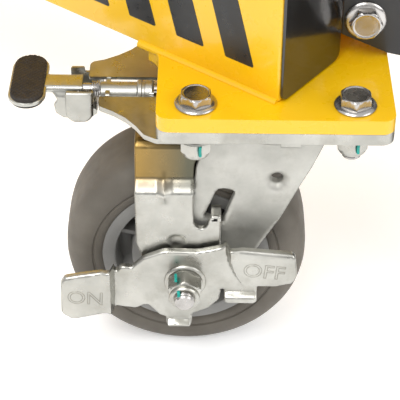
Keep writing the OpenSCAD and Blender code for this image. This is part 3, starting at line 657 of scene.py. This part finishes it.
def saddle_relief(u, v):
    """Side of the saddle: the upper panel steps outward below its bend, with one small dart."""
    top, low = 30.6, 37.4
    bend = ease(-v, -59.6, -52.6)
    across = max(0, 1 - abs(u + 10.8) / 3.8)
    dart = 3.4 * across * max(0, 1 - abs(v - 55) / 8.5)
    roll = -2.6 * ease(v, 75.5, 79.8) ** 2
    pad = -0.7 * (1 - ease(math.hypot((u + 4.4) / 4.6, (v - 22.6) / 4.4), 0.75, 1.05))
    return top + (low - top) * bend + dart + pad + roll


def brake_saddle(tag, side):
    """Saddle over the wheel with its two sides, the tongue in the fork's window, and the pad."""
    place = wheel_place(side)
    body = "brake_shoe_" + tag
    drop = (DECK - AXLE.z) / MM
    # The saddle's material has a painted shadow and a painted reflection of the yellow deck on its upper panel.
    look = "saddle_zinc"
    outline = rounded([(u, drop - depth) for u, depth in (
        (-25.4, 29.9), (8.4, 29.9), (4.6, 43), (4.2, 58), (4.4, 75.4), (6, 78.4), (9.4, 78.7),
        (11.2, 76.6), (13, 70.4), (18.2, 70.4), (18.2, 97), (12.2, 100.5), (-18, 103.5),
        (-21.4, 102), (-25.4, 88), (-25.6, 58))],
        [2, 1, 2, 1, 3, 4, 4, 2, 1.6, 1.6, 3, 5, 3, 3, 2, 2])
    near = pressed_sheet(outline, [], 3, saddle_relief, place, 1, 0.9)
    piece("brake_side_near_" + tag, near, body, "zinc_plate", ["brake_saddle_" + tag], look)
    far = pressed_sheet(rounded(rectangle(-25.4, drop - 29.9, 3.8, drop - 84), 3), [], 3,
                        saddle_relief, lambda u, out, v: place(u, -out, v), 1.6, 0.9)
    piece("brake_side_far_" + tag, far, body, "zinc_plate", (), look)

    def across(a, h, b):
        return place(b, a, h)
    web = pressed_sheet(rectangle(-28.6, -25.4, 28.6, 3.8), [], 3,
                        lambda a, b: drop - 29.8 - 0.9 * ease(abs(a), 25.5, 28.6),
                        across, 1.5, 0.8)
    piece("brake_web_" + tag, web, body, "zinc_plate", (), look)
    tongue = pressed_sheet(rectangle(13, -37.4, 18.2, -29.4), [], 2.2,
                           lambda a, b: drop - 70.2 - 0.9 * ease(-b, 35.6, 37.4)
                           + 1.6 * ease(b, -36, -30),
                           lambda a, h, b: place(a, -b, h), 1, 0.5)
    piece("brake_tongue_" + tag, tongue, body, "zinc_plate")
    shoe = pressed_sheet(rounded(rectangle(-19, -19, 19, -1), 2), [], 9.5,
                         lambda a, b: drop - 33.2, across, 2, 0.5)
    tread_gap = 64.15      # the pad's underside is hollowed to this radius about the axle
    for vert in shoe.vertices:
        u, v = (vert.co.x - AXLE.x) / MM, (vert.co.z - AXLE.z) / MM
        if v < 74:
            vert.co.z = AXLE.z + math.sqrt(tread_gap ** 2 - u * u) * MM
    piece("brake_pad_" + tag, shoe, body, "black_rubber")


def fork_relief(u, v):
    """Outer face of the fork's cheek, dished in around its hole."""
    return 32.0 - 2.2 * (1 - ease(math.hypot(u - HOLE[0], v - HOLE[1]), 3, 6.6))


def fork_cheeks(tag, side):
    """Side plates of the fork, with the slot and the dimpled hole."""
    outline = rounded([
        (10, 82.6), (69, 82.6), (67.7, 79), (63.5, 67.7), (56.7, 53), (48.4, 33.9),
        (37.2, 13.5), (26, -2), (14, -14), (0, -17.5), (-13, -12.5), (-17, 2),
        (-9, 28), (4, 52), (5.4, 66)
    ], [1, 2, 8, 20, 30, 40, 30, 12, 12, 12, 12, 12, 30, 14, 16])
    window = rounded([(16.6, 54.4), (25.4, 51.2), (18.6, 31), (9.4, 34.6)], [4.5, 2, 1.5, 1.5])
    base = wheel_place(side)
    for where, flip in (("near", 1), ("far", -1)):
        mesh = pressed_sheet(outline, [window[::-1], circle(*HOLE, 3.1), circle(0, 0, 6.2)],
                             4.5, fork_relief, lambda u, out, v: base(u, out * flip, v), 1.6, 1)
        stands = ["fork_" + tag] if where == "near" else []
        piece("fork_cheek_%s_%s" % (where, tag), mesh, "caster_" + tag, "zinc_plate", stands,
              "fork_zinc")


def fork_crown(tag, side):
    """Dished head of the fork with its rolled rim, and the seal and rivet of the swivel."""
    place = corner_place(side)
    top, low = -15.1, -28.0
    profile = [(low, 9.2), (low, 30), (low + 0.7, 33.6), (low + 2.6, 36.2), (low + 5, 37.6),
               (low + 6, 38.3), (top - 1.2, 38.5), (top - 0.4, 38.1), (top, 37), (top, 33.4),
               (top - 0.6, 32.4), (low + 3.2, 32), (low + 3, 31), (low + 3, 9.2),
               (low, 9.2)]
    turns = [(math.cos(n * math.pi / 2), math.sin(n * math.pi / 2)) for n in range(4)]
    notch = [(31, 0.01), (31, 3.7), (40, 3.7), (40, 0.01)]
    cutters = [turned(notch, lambda a, b, h: place(h * c - a * q, h * q + a * c, LOCK_Z + b), 32)
               for c, q in turns]
    piece("fork_crown_" + tag, drilled(turned(profile, place, 96), cutters), "caster_" + tag,
          "zinc_plate")
    for n, (c, q) in enumerate(turns):
        ring = [place(38.3 * c - 4.1 * math.cos(t) * q, 38.3 * q + 4.1 * math.cos(t) * c,
                      LOCK_Z + 4.1 * math.sin(t))
                for t in (k * math.pi / 12 for k in range(24))]
        piece("crown_notch_%d_%s" % (n, tag), tube_along(ring, 0.5 * MM, 8, True),
              "caster_" + tag, "zinc_plate")
    seal = [(-14.3, 30), (-14.3, 36.4), (-14.6, 36.9), (-15, 36.6), (-15, 30),
            (-14.3, 30)]
    piece("swivel_seal_" + tag, turned(seal, place, 96), "frame", "black_rubber")
    rivet = [(low - 6.2, 0.01), (low - 6.2, 8), (low - 5.8, 10.4), (low - 4.4, 12.4),
             (low - 2.6, 13), (low - 0.4, 13), (low - 0.3, 12.6), (low - 0.3, 8),
             (low + 6, 8), (low + 6, 0.01)]
    piece("swivel_rivet_" + tag, turned(rivet, place, 64), "frame", "zinc_plate",
          ["kingpin_" + tag])
    for k in (-1, 1):
        tab = pressed_sheet(rounded(rectangle(-5.2, -25.6, 5.2, -21.4), 0.8), [], 1.2,
                            lambda u, v: 38.35 + 0.25 * ease(abs(u), 2, 5),
                            lambda u, h, v: place(u + 8.5, -k * (h - 0.032 * u * u * 0.4), v),
                            1, 0.4)
        piece("crown_tab_%d_%s" % (k + 1, tag), tab, "caster_" + tag, "zinc_plate")


# ---- Wheels ------------------------------------------------------------------------------

TYRE_HALF = [(0, 63.9), (9, 63.8), (14, 63.4), (18, 62.3), (21, 60.4), (23, 57.6), (23.9, 54.6),
             (24.1, 51.4), (23.9, 50), (23.2, 49.4), (23.1, 49), (23.7, 48.4), (23.6, 46.4),
             (22.9, 45), (22.2, 44.3), (18, 43.4)]
CORE_HALF = [(20, 43.6), (22.2, 44.3), (22.7, 43.9), (22.8, 38.4), (22.4, 37.6), (21.4, 37.1),
             (9.6, 35.9), (8.4, 34.8), (8, 33.6), (8, 31.2), (8.6, 29.8), (10, 29.3),
             (21.6, 28.6), (22.4, 28.2), (22.6, 27.4), (22.6, 14.8), (22, 13.9), (21, 13.6),
             (21, 12.1)]


def both_sides(half):
    """Closed turned profile from one half, given as (out, radius) from the middle outward."""
    loop = [(-h, r) for h, r in reversed(half)] + (half[1:] if half[0][0] == 0 else half)
    return loop + [loop[0]]


def caster_wheel(tag, side):
    base = wheel_place(side)
    body = "wheel_" + tag
    piece("tyre_ring_" + tag, turned(both_sides(TYRE_HALF), about_axle(side), 128), body,
          "grey_rubber", ["tyre_" + tag])
    piece("core_ring_" + tag, turned(both_sides(CORE_HALF), about_axle(side), 128), body,
          "core_plastic", ["wheel_core_" + tag])
    bush = [(20, 0.01), (26.7, 5.3), (26.9, 5.8), (26.9, 11.2), (26.4, 11.9), (20, 12)]
    for flip, face in ((1, "a"), (-1, "b")):
        for n in range(8):
            angle = math.radians(22.5 + 45 * n)
            c, q = math.cos(angle), math.sin(angle)
            rib = pressed_sheet(rounded([(28.4, 6), (37.4, 6), (37.4, 19), (28.4, 17.5)], 1),
                                [], 3, lambda u, v: 1.5,
                                lambda u, h, v: base(u * c - h * q, flip * v, u * q + h * c),
                                3, 0.7)
            piece("core_rib_%d%s_%s" % (n, face, tag), rib, body, "core_plastic")
        piece("axle_bush_%s_%s" % (face, tag), turned(bush, about_axle(side, flip), 64), body,
              "bolt_steel", ["hub_bearing_" + tag] if flip > 0 else [])


def tip_wheel(tag, side):
    low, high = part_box("tip_tyre_" + tag)
    mid = centre("tip_tyre_" + tag)
    r, half = (high.z - low.z) / 2 / MM, (high.y - low.y) / 2 / MM

    def base(a, b, h):
        return Vector((mid.x + a * MM, mid.y + h * MM, mid.z + b * MM))
    tyre = [(0, r), (half - 7, r - 0.2), (half - 3, r - 1.6), (half - 0.6, r - 4.4),
            (half, r - 7.4), (half - 0.7, r - 8.6), (half - 0.5, r - 10.6), (half - 1.4, r - 12)]
    piece("tip_tyre_ring_" + tag, turned(both_sides(tyre), base, 96), "tip_wheel_" + tag,
          "grey_rubber", ["tip_tyre_" + tag])
    core = [(half - 2, r - 12.2), (half - 1, r - 12.6), (half - 1, r - 16.6),
            (half - 1.8, r - 17.4), (8.6, r - 18.4), (8, r - 19.4), (8, 16.4), (8.8, 15.6),
            (half - 1.6, 15), (half - 0.8, 14.2), (half - 0.8, 7.2), (half - 1.4, 5.2)]
    piece("tip_core_ring_" + tag, turned(both_sides(core), base, 96), "tip_wheel_" + tag,
          "core_plastic", ["tip_core_" + tag])


# ---- Swivel lock -------------------------------------------------------------------------

def channel(stations, place, gauge):
    """Mesh of a downward channel swept along X. Stations are (x, top z, half width, depth)."""
    verts = []
    for x, z, w, depth in stations:
        bend = min(2.2, depth - 0.05)
        outer = [(-w, z - depth), (-w, z - bend)]
        outer += [(-w + bend - bend * math.cos(t), z - bend + bend * math.sin(t))
                  for t in (k * math.pi / 8 for k in range(1, 5))]
        outer += [(-y, h) for y, h in reversed(outer)]
        inner = []
        for y, h in reversed(outer):
            pull = (abs(y) - gauge) / abs(y) if abs(y) > w - bend - 0.01 else 1
            curved = h > z - bend - 0.01
            inner.append((y * pull, max(h - gauge, z - depth + 0.03) if curved else h))
        verts += [place(x, y, h) for y, h in outer + inner]
    count = len(verts) // len(stations)
    faces = skin(len(stations), count)
    half = count // 2
    for start in (0, (len(stations) - 1) * count):
        for k in range(half - 1):
            faces.append((start + k, start + k + 1, start + count - 2 - k, start + count - 1 - k))
    return from_points("channel", verts, faces)


def oval(cx, grow):
    """Outline of the lock pedal, long across the lever."""
    r = 8.6 + grow
    return ([(cx + r * math.cos(t), 12 + r * math.sin(t))
             for t in (k * math.pi / 16 for k in range(17))]
            + [(cx + r * math.cos(t), -12 + r * math.sin(t))
               for t in (k * math.pi / 16 for k in range(16, 33))])


def hatch(x, y):
    """Depth of the crossed grooves on the pedal's pad."""
    pitch = 2.6
    lines = [abs((x + k * y) / pitch - round((x + k * y) / pitch)) * pitch for k in (-1, 1)]
    return 0.4 * (1 - ease(min(lines), 0.15, 0.6))


def lock_bracket(tag, side):
    """Bracket of the lock: two wings under the caster plate, a yoke and the plunger's guide."""
    base = corner_place(side)

    def down(x, h, y):
        return base(x, y, -h)

    def cut(y0, y1, sign):
        steps = [y0 + (y1 - y0) * k / 10 for k in range(11)]
        return [(-math.sqrt(39.8 ** 2 - y * y), sign * y) for y in steps]
    wing = [(-57, 47.6), (-63, 44), (-67.2, 37), (-72.5, 30.4), (-79, 25), (-86, 20.7)]
    for name, sign, thick, lead in (("near", -1, WING, [(-86.6, 17.6), (-86.6, 12.2)]),
                                    ("far", 1, 1.8, [(-92.8, 18.6), (-92.8, 5)])):
        start = abs(lead[-1][1])
        points = [(x, sign * y) for x, y in wing + lead] + cut(start, 30, sign) + [
            (-26, sign * 47.6)]
        holes = [circle(-BOLT_HALF, sign * BOLT_HALF, 5.2)]
        soft = [3] * (len(wing) - 1) + [2] + [4] + [0.8] * (len(points) - len(wing) - 1)
        mesh = pressed_sheet(rounded(points, soft), holes, thick,
                             lambda u, v: PLATE_FACE + thick, down, 4, 0.4)
        piece("lock_wing_%s_%s" % (name, tag), mesh, "frame", "zinc_plate",
              ["lock_bracket_" + tag] if sign < 0 else [])
    for name, k, shape in (
            ("near", -1, [(-103.8, -14), (-103.8, -28.4), (-100.5, -31.6), (-93.2, -31.6),
                          (-90, -28), (-89.6, -14)]),
            ("far", 1, [(-102.4, -13.6), (-102.4, -28), (-98, -32), (-90, -32),
                        (-86.4, -28), (-85.4, -16.4), (-95.2, -16.2), (-95.4, -13.6)])):
        outline = rounded(shape, [1, 4, 3.6, 4.5, 2.5, 0.8] + [0.8] * (len(shape) - 6))
        face = 10.6 if k < 0 else 14.2
        mesh = pressed_sheet(outline, [], 1.9,
                             lambda u, v: face - 1.1 * ease(u, -92.4, -89.6) ** 2 * (k < 0),
                             lambda u, h, v: base(u, k * h, v), 1, 0.8)
        piece("lock_yoke_%s_%s" % (name, tag), mesh, "frame", "zinc_plate")
    for n, (x, reach, low) in enumerate(((-84, 8, -24.6), (-62, 6, -23.2))):
        wall = rounded([(-reach - 2, -15), (-reach - 2, -18), (-reach + 2, low),
                        (reach - 4, low), (reach - 2, -18), (reach - 2, -15)], 1.5)
        mesh = pressed_sheet(wall, [], 2.4, lambda u, v: -x,
                             lambda u, h, v: base(-h, u, v), 1.5, 0.5)
        piece("lock_wall_%d_%s" % (n, tag), mesh, "frame", "zinc_plate")


def swivel_lock(tag, side):
    """Lever of the lock with its pedal and pads, and the pin with its coil, tube and collar."""
    base = corner_place(side)
    px, pz = PIVOT
    pedal, pin = "lock_pedal_" + tag, "lock_pin_" + tag

    def flat(x, h, y):
        return base(x, y, h)
    arm = channel([(px - back, pz + 13, half, depth) for back, half, depth in (
        (28, 7.8, 2.2), (25.5, 7.2, 2.4), (22.5, 6.6, 3), (19, 6.5, 3.4), (12, 6.5, 3.4),
        (8.6, 6.5, 3.4), (7.2, 6.5, 1.9), (5.6, 6.5, 1.8))], base, 1.6)
    piece("lock_arm_" + tag, arm, pedal, "zinc_plate", ["lock_lever_" + tag])
    cheek = rounded([(-24.6, 11.9), (-20.6, 10.4), (-17.6, 6.4), (-19.8, 3.4), (-19.2, -1.6),
                     (-15.5, -4.4), (-8, -5.2), (-1.5, -4.6), (0.6, -2.6), (0.6, 1),
                     (-0.6, 3.4), (-4.2, 4.6), (-7.8, 4.6), (-8.8, 6.4), (-9.8, 8.4), (-9.8, 11.9)],
                    [0.5, 4, 3, 2, 3, 3, 5, 3, 2, 2, 2, 2, 1, 1, 1, 0.5])
    for k in (-1, 1):
        mesh = pressed_sheet(cheek, [], 1.7,
                             lambda u, v: 8.2 - 1.8 * ease(v, 7.5, 11.5),
                             lambda u, h, v: base(px + u, k * h, pz + v), 1, 0.6)
        piece("lock_cheek_%d_%s" % (k + 1, tag), mesh, pedal, "zinc_plate")
    pivot = [(-9, 0.01), (-9, 2), (13.8, 2), (14, 3), (14.8, 3.2), (15.2, 2.2),
             (15.3, 0.01)]
    piece("lock_pivot_" + tag, turned(pivot, lambda a, b, h: base(px + a, h, pz + b), 32), pedal,
          "zinc_plate")
    plate = pressed_sheet(oval(px - 32.5, 0.7), [], 1.8, lambda u, v: pz + 12.9, flat, 2.2, 0.5)
    piece("lock_pedal_plate_" + tag, plate, pedal, "zinc_plate")
    top = pressed_sheet(oval(px - 32.5, -0.3), [], 2.3,
                        lambda u, v: pz + 15.3 - hatch(u - px, v)
                        - 0.25 * math.hypot((u - px + 32.5) / 9, v / 21) ** 2, flat, 0.6, 1)
    piece("lock_pad_top_" + tag, top, pedal, "black_rubber", ["lock_pads_" + tag], "pad_brown")
    under = pressed_sheet(oval(px - 32.5, -0.4), [], 2, lambda u, v: -(pz + 9),
                          lambda x, h, y: base(x, y, -h), 2, 0.8)
    piece("lock_pad_under_" + tag, under, pedal, "black_rubber")

    def along(a, b, h):
        return base(h, a, LOCK_Z + b)
    rod = [(-98, 0.01), (-98, 3.6), (-97.4, 4.2), (-96.4, 4.2), (-95.9, 3.1), (-42, 3.1),
           (-39.6, 2.2), (-39.4, 0.01)]
    piece("lock_pin_rod_" + tag, turned(rod, along, 40), pin, "bolt_steel",
          ["lock_plunger_" + tag])
    coils, start, end = 3.4, -90.7, -87.0
    line = [base(start + (end - start) * t, 4.0 * math.cos(2 * math.pi * coils * t),
                 LOCK_Z + 4.0 * math.sin(2 * math.pi * coils * t))
            for t in (k / 110 for k in range(111))]
    piece("lock_coil_" + tag, tube_along(line, 0.45 * MM, 8), "frame", "bolt_steel",
          ["lock_spring_" + tag])
    for name, ring in (
            ("tube", [(-86.4, 5.2), (-86.4, 5.4), (-86, 5.7), (-68.2, 5.7), (-68.2, 5.2),
                      (-86.4, 5.2)]),
            ("collar", [(-68, 5.3), (-68, 6.2), (-67.4, 6.7), (-65.8, 6.7), (-65.4, 5.9),
                        (-64.2, 5.9), (-63.8, 6.7), (-60.6, 6.7), (-60, 6.2), (-60, 5.3),
                        (-68, 5.3)])):
        mesh = turned(ring, lambda a, b, h: along(a - 1.8, b - 1, h), 48)
        piece("lock_%s_%s" % (name, tag), mesh, "frame", "zinc_plate")


# ---- Frame details -----------------------------------------------------------------------

LEG_ANGLE = math.radians(37)
LEG_FOOT = (1.4, -37)
LEG_W, LEG_H = 50.8, 76.2


def leg_point(side, s, across, z):
    """World point on the leg: s along it from its end, across it inward, z above the deck."""
    x = LEG_FOOT[0] - math.cos(LEG_ANGLE) * s + math.sin(LEG_ANGLE) * across
    y = LEG_FOOT[1] + math.sin(LEG_ANGLE) * s + math.cos(LEG_ANGLE) * across
    return corner_place(side)(x, y, z)


def weld(name, path, radius, closed=False, ripple=0.09):
    """Weld bead along a world polyline, with even ripples under the powder coat."""
    pitch = 0.9 * MM
    dense = []
    ends = zip(path, path[1:] + (path[:1] if closed else []))
    for a, b in ends:
        count = max(2, int((b - a).length / pitch))
        dense += [a.lerp(b, k / count) for k in range(count)]
    if not closed:
        dense.append(path[-1])
    piece(name, tube_along(dense, radius * MM, 10, closed, ripple), "frame", "yellow_coat")


def leg_details(tag, side):
    weld("weld_near_" + tag, [leg_point(side, s, 0, -0.2) for s in (1, 86)], 2.2, ripple=0)
    weld("weld_far_" + tag, [leg_point(side, s, LEG_W, -0.2) for s in (1, 18)], 2, ripple=0)
    lower, upper, width, lean = 14, 60, 17, 14.0
    for n, s in enumerate((15, 45, 75, 105)):
        outline = rounded([(s, lower), (s + width, lower), (s + width + lean, upper),
                           (s + lean, upper)], 1)
        mesh = pressed_sheet(outline, [], 0.18, lambda u, v: 0.16,
                             lambda u, h, v: leg_point(side, u, -h, v), 8, 0.1)
        piece("warning_bar_%d_%s" % (n, tag), mesh, "frame", "yellow_coat",
              look="decal")


def mast_details():
    """Welds and bolts of the mast, and the ribbed grips."""
    mast_x = centre("mast_bolts").x
    mast_half, socket_half = 25.4 * MM, 28.8 * MM
    ring_z = DECK + (LEG_H + 6.2) * MM
    weld("weld_socket", [Vector((mast_x + a * socket_half, b * socket_half, ring_z))
                         for a, b in ((1, 1), (-1, 1), (-1, -1), (1, -1))], 2.4, True)
    for n, z in enumerate((92, 128)):
        for k in (-1, 1):
            def across(a, b, h):
                return Vector((mast_x + a * MM, k * (28.6 + h) * MM, DECK + (z + b) * MM))
            piece("mast_bolt_%d%s" % (n, "ab"[k > 0]), turned(HEX_HEAD, across, 72, HEX_SMALL),
                  "frame", "bolt_steel", ["mast_bolts"] if n == 0 and k < 0 else [])
        piece("mast_bolt_end_%d" % n, turned(thread(7, 12, *SMALL_THREAD), across, 40), "frame",
              "bolt_steel")
    low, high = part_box("grips")
    gx, gz, y1 = (low.x + high.x) / 2, (low.z + high.z) / 2, high.y / MM
    for k, tag in ((-1, "r"), (1, "l")):
        profile = [(y1 - 120, 15.9), (y1 - 120, 18.2), (y1 - 119, 19.6), (y1 - 116.5, 19.6),
                   (y1 - 115.5, 17.4)]
        for n in range(17):
            h = y1 - 112 + n * 6
            profile += [(h, 16.2), (h + 0.8, 17), (h + 4, 17), (h + 4.8, 16.2)]
        profile += [(y1 - 6, 17), (y1 - 2, 17), (y1 - 0.4, 15.4), (y1, 13), (y1, 0.01)]
        mesh = turned(profile, lambda a, b, h: Vector((gx + a * MM, k * h * MM, gz + b * MM)), 56)
        piece("grip_" + tag, mesh, "frame", "black_rubber", ["grips"] if k < 0 else [])
        ring = [Vector((gx + 16.6 * MM * math.cos(t), k * (mast_half + 0.6 * MM),
                        gz + 16.6 * MM * math.sin(t)))
                for t in (i * math.pi / 36 for i in range(72))]
        piece("weld_bar_" + tag, tube_along(ring, 2 * MM, 8, True, 0.09), "frame",
              "yellow_coat")


def roller_details(tag, side):
    low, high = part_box("roller_" + tag)
    mid = centre("roller_" + tag)
    r, x0, x1 = (high.z - low.z) / 2 / MM, low.x / MM, high.x / MM

    def base(a, b, h):
        return Vector((h * MM, mid.y + a * MM, mid.z + b * MM))
    body = [(x0, 8.3), (x0, 13.4), (x0 + 1.6, 13.8), (x0 + 1.6, r - 1.6), (x0 + 0.4, r - 1.2),
            (x0 + 0.4, r - 0.6), (x0 + 1, r), (x1 - 1, r), (x1 - 0.4, r - 0.6),
            (x1 - 0.4, r - 1.2), (x1 - 1.6, r - 1.6), (x1 - 1.6, 13.8), (x1, 13.4), (x1, 8.3),
            (x0, 8.3)]
    piece("roller_tube_" + tag, turned(body, base, 96), "tyre_roller_" + tag, "roller_steel",
          ["roller_" + tag])


# ---- CAD nodes: rounded edges and smooth shading -----------------------------------------

EDGE_ROUND = {"leg": 2.5, "base_plate": 1.6, "crossbeam": 2.2, "mast": 2.5, "apex_socket": 1.2,
              "arm": 1, "end_cap": 0.7, "top_plate": 0.8}
SLOT_OF = {s["node"]: s["material_slot"] for s in frame["record"]["subparts"]}


def dress(name, obj):
    """Smooth shading, small rounds on sharp edges and the slot's material."""
    mesh = obj.data
    bpy.context.view_layer.objects.active = obj
    if mesh.has_custom_normals:
        with bpy.context.temp_override(object=obj, active_object=obj):
            bpy.ops.mesh.customdata_custom_splitnormals_clear()
    mesh.shade_smooth()
    weld = obj.modifiers.new("weld", "WELD")
    weld.merge_threshold = 1e-5
    flat = obj.modifiers.new("flat", "DECIMATE")
    flat.decimate_type = "DISSOLVE"
    flat.angle_limit = math.radians(0.3)
    bevel = obj.modifiers.new("bevel", "BEVEL")
    bevel.width = EDGE_ROUND.get(name.removesuffix("_r").removesuffix("_l"), 0.4) * MM
    bevel.segments = 3
    bevel.limit_method = "ANGLE"
    bevel.angle_limit = math.radians(38)
    normal = obj.modifiers.new("normal", "WEIGHTED_NORMAL")
    normal.keep_sharp = True
    mesh.materials.clear()
    mesh.materials.append(MATERIALS[SLOT_OF[name]])


for node_name, node_obj in frame["nodes"].items():
    dress(node_name, node_obj)

for side_tag, side_sign in (("r", -1), ("l", 1)):
    for build in (brake_lever, pedal_words, brake_saddle, fork_cheeks, fork_crown,
                  caster_fasteners, axle_fasteners, arm_fasteners, caster_wheel, tip_wheel,
                  lock_bracket, swivel_lock, leg_details, roller_details):
        build(side_tag, side_sign)
mast_details()

add_camera()
add_world()
add_floor()
add_light("key", (-0.9, -1.6, 2.4), (1.6, 1.2), 40)
add_light("fill", (1.8, -1.2, 1.4), (1.4, 1.4), 16)
add_light("back", (0.4, 2, 1.8), (2, 1.2), 20)
